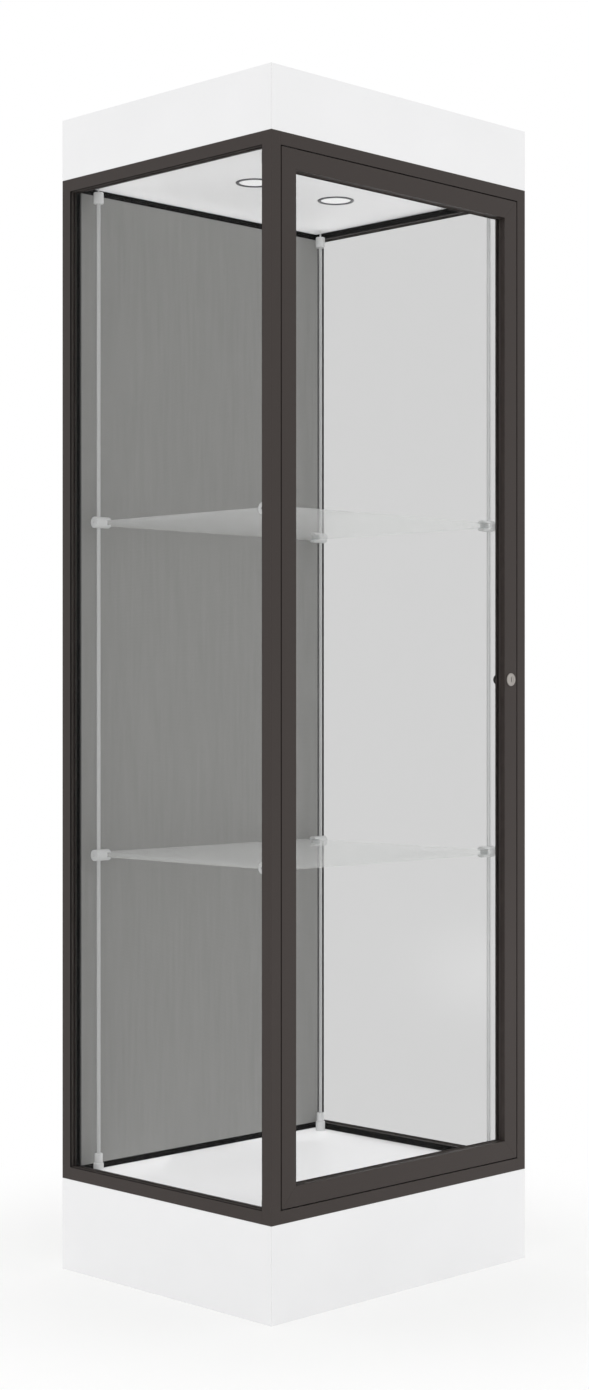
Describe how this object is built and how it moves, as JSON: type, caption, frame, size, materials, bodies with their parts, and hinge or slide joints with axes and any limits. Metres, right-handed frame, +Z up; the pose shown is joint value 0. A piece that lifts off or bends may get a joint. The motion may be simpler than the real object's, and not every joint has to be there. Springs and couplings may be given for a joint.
{
  "type": "display case",
  "caption": "Floor-standing glass tower display case with a lockable framed glass door, rod-hung glass shelves, a gray back panel and lights in its white header.",
  "frame": {"origin": "on the floor under the middle of the case", "axes": "+X to the right along the door, +Y to the back, +Z up; the door is on the -Y side"},
  "size_m": [0.6084, 0.5068, 1.9304],
  "materials": {
    "white_laminate": "satin melamine laminate on board",
    "raw_timber": "planed softwood",
    "bronze_aluminium": "dark bronze anodised extrusion",
    "clear_glass": "polished clear float glass",
    "black_rubber": "matt extruded rubber",
    "gray_fabric": "woven gray panel cloth on board",
    "satin_aluminium": "satin anodised turned aluminium",
    "clear_liner": "translucent soft plastic",
    "light_housing": "die cast",
    "gray_bezel": "satin dark gray paint",
    "white_lens": "frosted diffuser",
    "black_plastic": "moulded",
    "nickel_lock": "satin nickel plate",
    "black_steel": "black zinc plate",
    "zinc_steel": "bright zinc plate",
    "nylon_key": "moulded nylon"
  },
  "bodies": {
    "case": {"base_front_board": "white_laminate", "base_back_board": "white_laminate", "base_side_boards": "white_laminate", "base_deck": "white_laminate", "floor_panel": "white_laminate", "header_front_board": "white_laminate", "header_back_board": "white_laminate", "header_side_boards": "white_laminate", "header_top_board": "white_laminate", "ceiling_panel": "white_laminate", "base_corner_blocks": "raw_timber", "header_cleats": "raw_timber", "post_front_left": "bronze_aluminium", "post_front_right": "bronze_aluminium", "post_back_left": "bronze_aluminium", "post_back_right": "bronze_aluminium", "rail_bottom_front": "bronze_aluminium", "rail_bottom_back": "bronze_aluminium", "rail_bottom_sides": "bronze_aluminium", "rail_top_front": "bronze_aluminium", "rail_top_back": "bronze_aluminium", "rail_top_sides": "bronze_aluminium", "rail_spigots": "nylon_key", "side_glass_left": "clear_glass", "side_glass_right": "clear_glass", "side_gaskets": "black_rubber", "cord_grommet": "black_rubber", "back_panel": "gray_fabric", "puck_housings": "light_housing", "puck_bezels": "gray_bezel", "puck_lenses": "white_lens", "led_driver": "black_plastic", "shelf_rods": "satin_aluminium", "rod_top_sockets": "satin_aluminium", "rod_bottom_sockets": "satin_aluminium", "leveller_nuts": "zinc_steel", "lock_strike": "black_steel", "pivot_pins": "black_steel"},
    "door": {"door_stile_hinge": "bronze_aluminium", "door_stile_lock": "bronze_aluminium", "door_rail_bottom": "bronze_aluminium", "door_rail_top": "bronze_aluminium", "door_glass": "clear_glass", "door_gasket": "black_rubber", "door_corner_keys": "nylon_key", "lock_barrel": "nickel_lock", "lock_nut": "zinc_steel"},
    "lock": {"lock_plug": "nickel_lock", "lock_cam": "zinc_steel", "cam_cap": "black_plastic"},
    "upper_shelf": {"upper_shelf_glass": "clear_glass", "upper_shelf_clamps": "satin_aluminium", "upper_shelf_liners": "clear_liner"},
    "lower_shelf": {"lower_shelf_glass": "clear_glass", "lower_shelf_clamps": "satin_aluminium", "lower_shelf_liners": "clear_liner"},
    "leveller_front_left": {"leveller_foot_front_left": "zinc_steel"},
    "leveller_front_right": {"leveller_foot_front_right": "zinc_steel"},
    "leveller_back_left": {"leveller_foot_back_left": "zinc_steel"},
    "leveller_back_right": {"leveller_foot_back_right": "zinc_steel"}
  },
  "joints": [
    {"name": "door_swing", "type": "hinge", "parent": "case", "child": "door", "pos_m": [-0.2727, -0.24575, 0.9906], "axis": [0, 0, -1], "range_deg": [0, 110]},
    {"name": "lock_turn", "type": "hinge", "parent": "door", "child": "lock", "pos_m": [0.26595, -0.25125, 0.9906], "axis": [0, -1, 0], "range_deg": [0, 90]},
    {"name": "upper_shelf_height", "type": "slide", "parent": "case", "child": "upper_shelf", "axis": [0, 0, 1], "range_m": [-0.25, 0.5]},
    {"name": "lower_shelf_height", "type": "slide", "parent": "case", "child": "lower_shelf", "axis": [0, 0, 1], "range_m": [-0.48, 0.27]},
    {"name": "leveller_front_left_screw", "type": "slide", "parent": "case", "child": "leveller_front_left", "axis": [0, 0, -1], "range_m": [0, 0.012]},
    {"name": "leveller_front_right_screw", "type": "slide", "parent": "case", "child": "leveller_front_right", "axis": [0, 0, -1], "range_m": [0, 0.012]},
    {"name": "leveller_back_left_screw", "type": "slide", "parent": "case", "child": "leveller_back_left", "axis": [0, 0, -1], "range_m": [0, 0.012]},
    {"name": "leveller_back_right_screw", "type": "slide", "parent": "case", "child": "leveller_back_right", "axis": [0, 0, -1], "range_m": [0, 0.012]}
  ]
}
